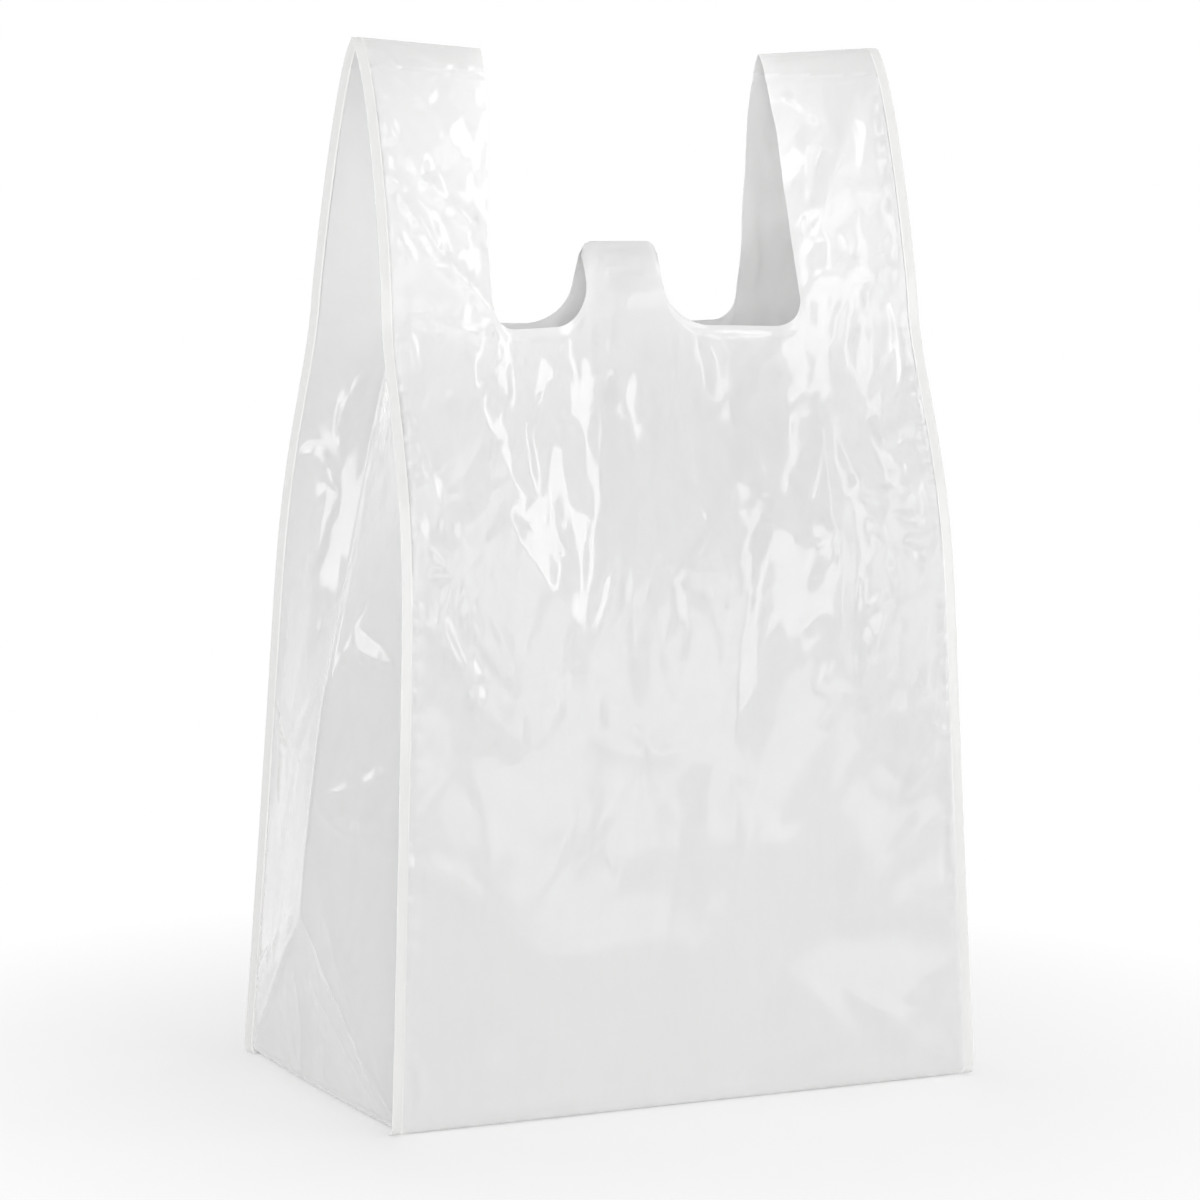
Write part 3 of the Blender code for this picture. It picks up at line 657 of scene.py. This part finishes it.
def gusset_relief(across, z, folds, seed):
    """Height in millimetres of the creases of a gusset, across as seen from outside."""
    inward = np.maximum(0.0, half_depth(z * MM) / MM - np.abs(across))
    rough = creases(across, z, 5.5, seed, 0.9, 1.7)
    small = creases(across, z, 10.0, seed + 1, 1.1, 2.0)
    broad = creases(across, z, 38.0, seed + 2, 1.3, 1.6)
    middling = creases(across, z, 17.0, seed + 3, 1.4, 2.0)
    worn = np.clip(0.2 + 0.8 * swell(across, z, 55.0, seed + 5), 0.06, 1.0)
    height = 0.6 * fold_heights(across, z, folds, rough)
    height += 1.1 * broad + 0.4 * middling + 0.4 * worn * small + 0.22 * worn * rough
    height *= np.clip(inward / 9.0, 0.0, 1.0) ** 0.8 * np.clip(z / 12.0, 0.0, 1.0)
    height *= np.clip((480.0 - z) / 20.0, 0.0, 1.0)
    return height + 0.3 * scallops(z, inward, seed + 4)


# Folds of the gussets, in millimetres as seen from outside: across from the gusset's middle, up.
LEFT_GUSSET_FOLDS = (
    (((0, 84), (0, 150), (0, 220), (0, 300), (0, 364)), 2.6, 2.6, 0.5, 0),
    (((0, 84), (-22, 62), (-46, 40), (-88, 2)), 3, 3, 0.4, 0.2),
    (((0, 84), (22, 62), (46, 40), (88, 2)), 3, 3, 0.4, 0.2),
    (((-60, 364), (-36, 363), (-25, 363), (-12, 361)), 2.5, 5.9, 0.24, 0.1),
    (((-25, 355), (-20, 359), (-13, 360)), 4.6, 4, 0.26, 0.3),
    (((-64, 351), (-37, 353), (-24, 358)), 5, 7, 0.12, 0.2),
    (((-11, 337), (-18, 328), (-25, 315), (-29, 305)), 8.7, 10.5, 0.22, 0.3),
    (((-14, 334), (-21, 321), (-25, 309), (-24, 293)), 8.3, 6.5, 0.24, 0.5),
    (((-83, 290), (-61, 293), (-45, 293), (-33, 287), (-19, 277)), 5.2, 9.8, 0.3, 0.7),
    (((-46, 292), (-40, 295), (-30, 291)), 4.1, 4.1, 0.26, 0.5),
    (((-20, 278), (-27, 265), (-36, 249), (-46, 232)), 9.1, 19.9, 0.16, 0),
    (((-80, 285), (-72, 270), (-69, 261)), 13.3, 7.6, 0.14, 0.1),
    (((-98, 192), (-78, 174), (-42, 162), (-23, 175), (-8, 190)), 12, 10.8, 0.2, 0.2),
    (((-96, 153), (-77, 160), (-61, 162), (-43, 153)), 4.8, 8.4, 0.22, 0.4),
    (((-98, 150), (-66, 152), (-5, 153)), 3.5, 8.2, 0.24, 0.2),
    (((19, 218), (27, 211), (43, 208), (57, 207)), 6.8, 6.8, 0.24, 0.3),
    (((64, 161), (39, 149), (2, 137)), 12.5, 7.9, 0.16, 0.3),
    (((2, 136), (23, 128), (43, 128), (67, 132)), 9, 11.2, 0.2, 0.2),
    (((-5, 87), (-37, 68), (-75, 42), (-102, 13)), 10.6, 14.2, 0.2, 0.5),
    (((-12, 71), (-55, 45), (-103, 11)), 8.5, 12, 0.2, 0.3),
    (((-14, 57), (-14, 32), (-20, 10), (-17, -2)), 7.6, 13.3, 0.2, 0),
    (((2, 55), (23, 40), (47, 22), (66, 9)), 12.1, 20.7, 0.14, 0),
    (((16, 95), (32, 70), (45, 51), (59, 29), (71, 9)), 9.2, 20.3, 0.2, 0.1),
    (((60, 8), (66, 6), (73, 4)), 6.3, 4.7, 0.24, 0.2),
    (((13, 113), (19, 95), (19, 81)), 24.8, 13.3, 0.08, 0),
)
RIGHT_GUSSET_FOLDS = (
    (((0, 84), (0, 150), (0, 220), (0, 300), (0, 364)), 2.6, 2.6, 0.5, 0),
    (((0, 84), (-22, 62), (-46, 40), (-88, 2)), 3, 3, 0.4, 0.2),
    (((0, 84), (22, 62), (46, 40), (88, 2)), 3, 3, 0.4, 0.2),
    (((-38, 364), (-20, 362), (4, 363), (30, 364)), 3, 7, 0.24, 0.1),
    (((-12, 342), (-20, 326), (-32, 308), (-38, 292)), 8, 10, 0.22, 0.3),
    (((-80, 282), (-58, 288), (-36, 284), (-16, 270)), 6, 10, 0.28, 0.6),
    (((-18, 272), (-30, 250), (-44, 226)), 18, 9, 0.16, 0),
    (((40, 300), (52, 280), (60, 250)), 12, 7, 0.16, 0.1),
    (((-96, 186), (-70, 170), (-40, 158), (-8, 178)), 12, 10, 0.2, 0.2),
    (((92, 150), (60, 155), (8, 150)), 4, 9, 0.22, 0.2),
    (((-6, 84), (-40, 62), (-78, 34), (-98, 12)), 10, 14, 0.2, 0.4),
    (((4, 60), (8, 34), (6, 0)), 8, 14, 0.18, 0),
    (((20, 72), (42, 44), (72, 8)), 12, 20, 0.16, 0.1),
)
for name, end, cells, cell, folds, seed in (
        ("left_gusset", LEFT, 44, 0.0020, LEFT_GUSSET_FOLDS, 51),
        ("right_gusset", RIGHT, 36, 0.0026, RIGHT_GUSSET_FOLDS, 71)):
    points, depthwise, upward = gusset_grid(end, cells, cell)
    height = gusset_relief(end * depthwise, upward, folds, seed)
    sheet_of_film(name, [(points, height)], (end, 0, 0))

# ---------------------------------------------------------------------------------------------
# Base: the squared bottom of the bag, on which it stands. The film is folded flat there, with
# the bottom weld across its middle and the corners of the gussets tucked in.
columns = np.linspace(-1.0, 1.0, 77)[None, :]
rows = np.linspace(-1.0, 1.0, 45)[:, None]
turned_in = float(tuck(0.0))
x = columns * (float(half_seams(0.0)) - turned_in + BASE_BOW * (1.0 - rows ** 2))
y = np.broadcast_to(rows * (float(half_depth(0.0)) - turned_in), x.shape)
points = np.stack([x, y, np.full_like(x, FILM / 2)], axis=2)
weld = np.clip(1.0 - np.abs(y / MM) / 3.0, 0.0, 1.0)
lift = 0.5 * weld + 0.4 * np.clip(swell(x / MM, y / MM, 40.0, 91), 0.0, 1.0)
lift *= (np.clip((1.0 - np.abs(columns)) * 12, 0.0, 1.0)
         * np.clip((1.0 - np.abs(rows)) * 8, 0.0, 1.0))
sheet_of_film("base", [(points, -lift)], (0, 0, -1))

# ---------------------------------------------------------------------------------------------
# Studio: a white table without an edge in a pale room, and soft lamps around the bag. The tall
# ones in front and on the right are what the film's folds mirror towards the camera.


def seen_by_eye(tree):
    """1 for rays that show a surface to the camera, directly, mirrored or through clear things."""
    rays = add_node(tree, "ShaderNodeLightPath")
    either = add_node(tree, "ShaderNodeMath", {"operation": "MAXIMUM"})
    tree.links.new(rays.outputs["Is Camera Ray"], either.inputs[0])
    tree.links.new(rays.outputs["Is Glossy Ray"], either.inputs[1])
    any_kind = add_node(tree, "ShaderNodeMath", {"operation": "MAXIMUM"})
    tree.links.new(either.outputs["Value"], any_kind.inputs[0])
    tree.links.new(rays.outputs["Is Transmission Ray"], any_kind.inputs[1])
    return any_kind.outputs["Value"]


bpy.ops.object.select_all(action="DESELECT")
bpy.ops.mesh.primitive_plane_add(size=40.0, location=(0.0, 0.0, -0.0002))
floor = bpy.context.object
floor.name = "floor"
# Far from the bag the table is plain white to the camera; near it, it takes the bag's shadow.
floor_white = bpy.data.materials.new("matt_table")
floor_white.use_nodes = True
tree = floor_white.node_tree
shader = tree.nodes["Principled BSDF"]
shader.inputs["Base Color"].default_value = linear("#F6F6F6")
shader.inputs["Roughness"].default_value = 0.9
shader.inputs["Specular IOR Level"].default_value = 0.0
seen = seen_by_eye(tree)
place = add_node(tree, "ShaderNodeTexCoord")
away = add_node(tree, "ShaderNodeVectorMath", {"operation": "LENGTH"})
tree.links.new(place.outputs["Object"], away.inputs[0])
spread = add_node(tree, "ShaderNodeMapRange",
                  {"From Min": 0.17, "From Max": 0.42, "To Min": 0.34, "To Max": 1.0},
                  {"Value": away.outputs["Value"]})
share = add_node(tree, "ShaderNodeMath", {"operation": "MULTIPLY"})
tree.links.new(seen, share.inputs[0])
tree.links.new(spread.outputs["Result"], share.inputs[1])
plain = add_node(tree, "ShaderNodeEmission", {"Color": (1.0, 1.0, 1.0, 1.0), "Strength": 1.0})
pick = add_node(tree, "ShaderNodeMixShader", (), {"Fac": share.outputs["Value"]})
tree.links.new(shader.outputs["BSDF"], pick.inputs[1])
tree.links.new(plain.outputs["Emission"], pick.inputs[2])
tree.links.new(pick.outputs["Shader"], tree.nodes["Material Output"].inputs["Surface"])
floor.data.materials.append(floor_white)

world = bpy.data.worlds.new("surround")
world.use_nodes = True
bpy.context.scene.world = world
tree = world.node_tree
surround = tree.nodes["Background"]
surround.inputs["Color"].default_value = (1.0, 1.0, 1.0, 1.0)
# The room is lightest around the table and in front of the bag, and dimmer overhead.
way = add_node(tree, "ShaderNodeTexCoord")
parts = add_node(tree, "ShaderNodeSeparateXYZ", (), {"Vector": way.outputs["Generated"]})
dim = add_node(tree, "ShaderNodeMapRange",
               {"From Min": 0.0, "From Max": 0.9, "To Min": 1.55, "To Max": 0.42},
               {"Value": parts.outputs["Z"]})
ahead = add_node(tree, "ShaderNodeMapRange",
                 {"From Min": -1.0, "From Max": 1.0, "To Min": 1.17, "To Max": 0.82},
                 {"Value": parts.outputs["Y"]})
level_light = add_node(tree, "ShaderNodeMath", {"operation": "MULTIPLY"})
tree.links.new(dim.outputs["Result"], level_light.inputs[0])
tree.links.new(ahead.outputs["Result"], level_light.inputs[1])
tree.links.new(level_light.outputs["Value"], surround.inputs["Strength"])
seen = add_node(tree, "ShaderNodeBackground", {"Color": (1.0, 1.0, 1.0, 1.0), "Strength": 1.0})
pick = add_node(tree, "ShaderNodeMixShader", (), {"Fac": seen_by_eye(tree)})
tree.links.new(surround.outputs["Background"], pick.inputs[1])
tree.links.new(seen.outputs["Background"], pick.inputs[2])
tree.links.new(pick.outputs["Shader"], tree.nodes["World Output"].inputs["Surface"])


LAMP_DISTANCE = 2.3                     # metres from the middle of the bag
BAG_MIDDLE = Vector((0.0, 0.0, 0.26))


def softbox(name, turned, raised, width, tall, bright):
    """A rectangular lamp of even light that faces the middle of the bag."""
    data = bpy.data.lights.new(name, "AREA")
    data.shape, data.size, data.size_y = "RECTANGLE", width, tall
    data.energy = bright * math.pi * width * tall
    lamp = bpy.data.objects.new(name, data)
    bpy.context.scene.collection.objects.link(lamp)
    away = Vector((math.sin(turned) * math.cos(raised), -math.cos(turned) * math.cos(raised),
                   math.sin(raised)))
    lamp.location = BAG_MIDDLE + LAMP_DISTANCE * away
    lamp.visible_camera = False
    lamp.rotation_mode = "QUATERNION"
    lamp.rotation_quaternion = away.to_track_quat("Z", "Y")


# Each lamp: the way it is turned from straight ahead of the bag (to the right) and up, in
# degrees, its width and height in metres and its brightness against the table's 1.
LAMPS = (
    ("left_lamp", -142, 14, 0.5, 1.2, 0.9),
    ("back_lamp", 172, 16, 0.9, 1.3, 1.3),
    ("high_left_lamp", -80, 42, 0.7, 0.7, 0.6),
    ("low_left_lamp", -80, 8, 0.6, 0.6, 0.4),
    ("front_left_lamp", -42, 15, 0.5, 0.9, 0.9),
    ("fill_lamp", -19, 6, 0.9, 0.9, 1.6),
    ("low_front_lamp", 5, 20, 0.5, 1.4, 1.3),
    ("middle_lamp", 32, 7, 0.95, 1.0, 0.55),
    ("high_lamp", 30, 66, 0.7, 0.4, 0.4),
    ("right_key_lamp", 61, 17, 0.5, 1.3, 1.6),
    ("right_lamp", 108, 12, 0.6, 1.0, 2.4),
)
for name, turned, raised, width, tall, bright in LAMPS:
    softbox(name, math.radians(turned), math.radians(raised), width, tall, bright)
bpy.context.scene.view_settings.view_transform = "Standard"
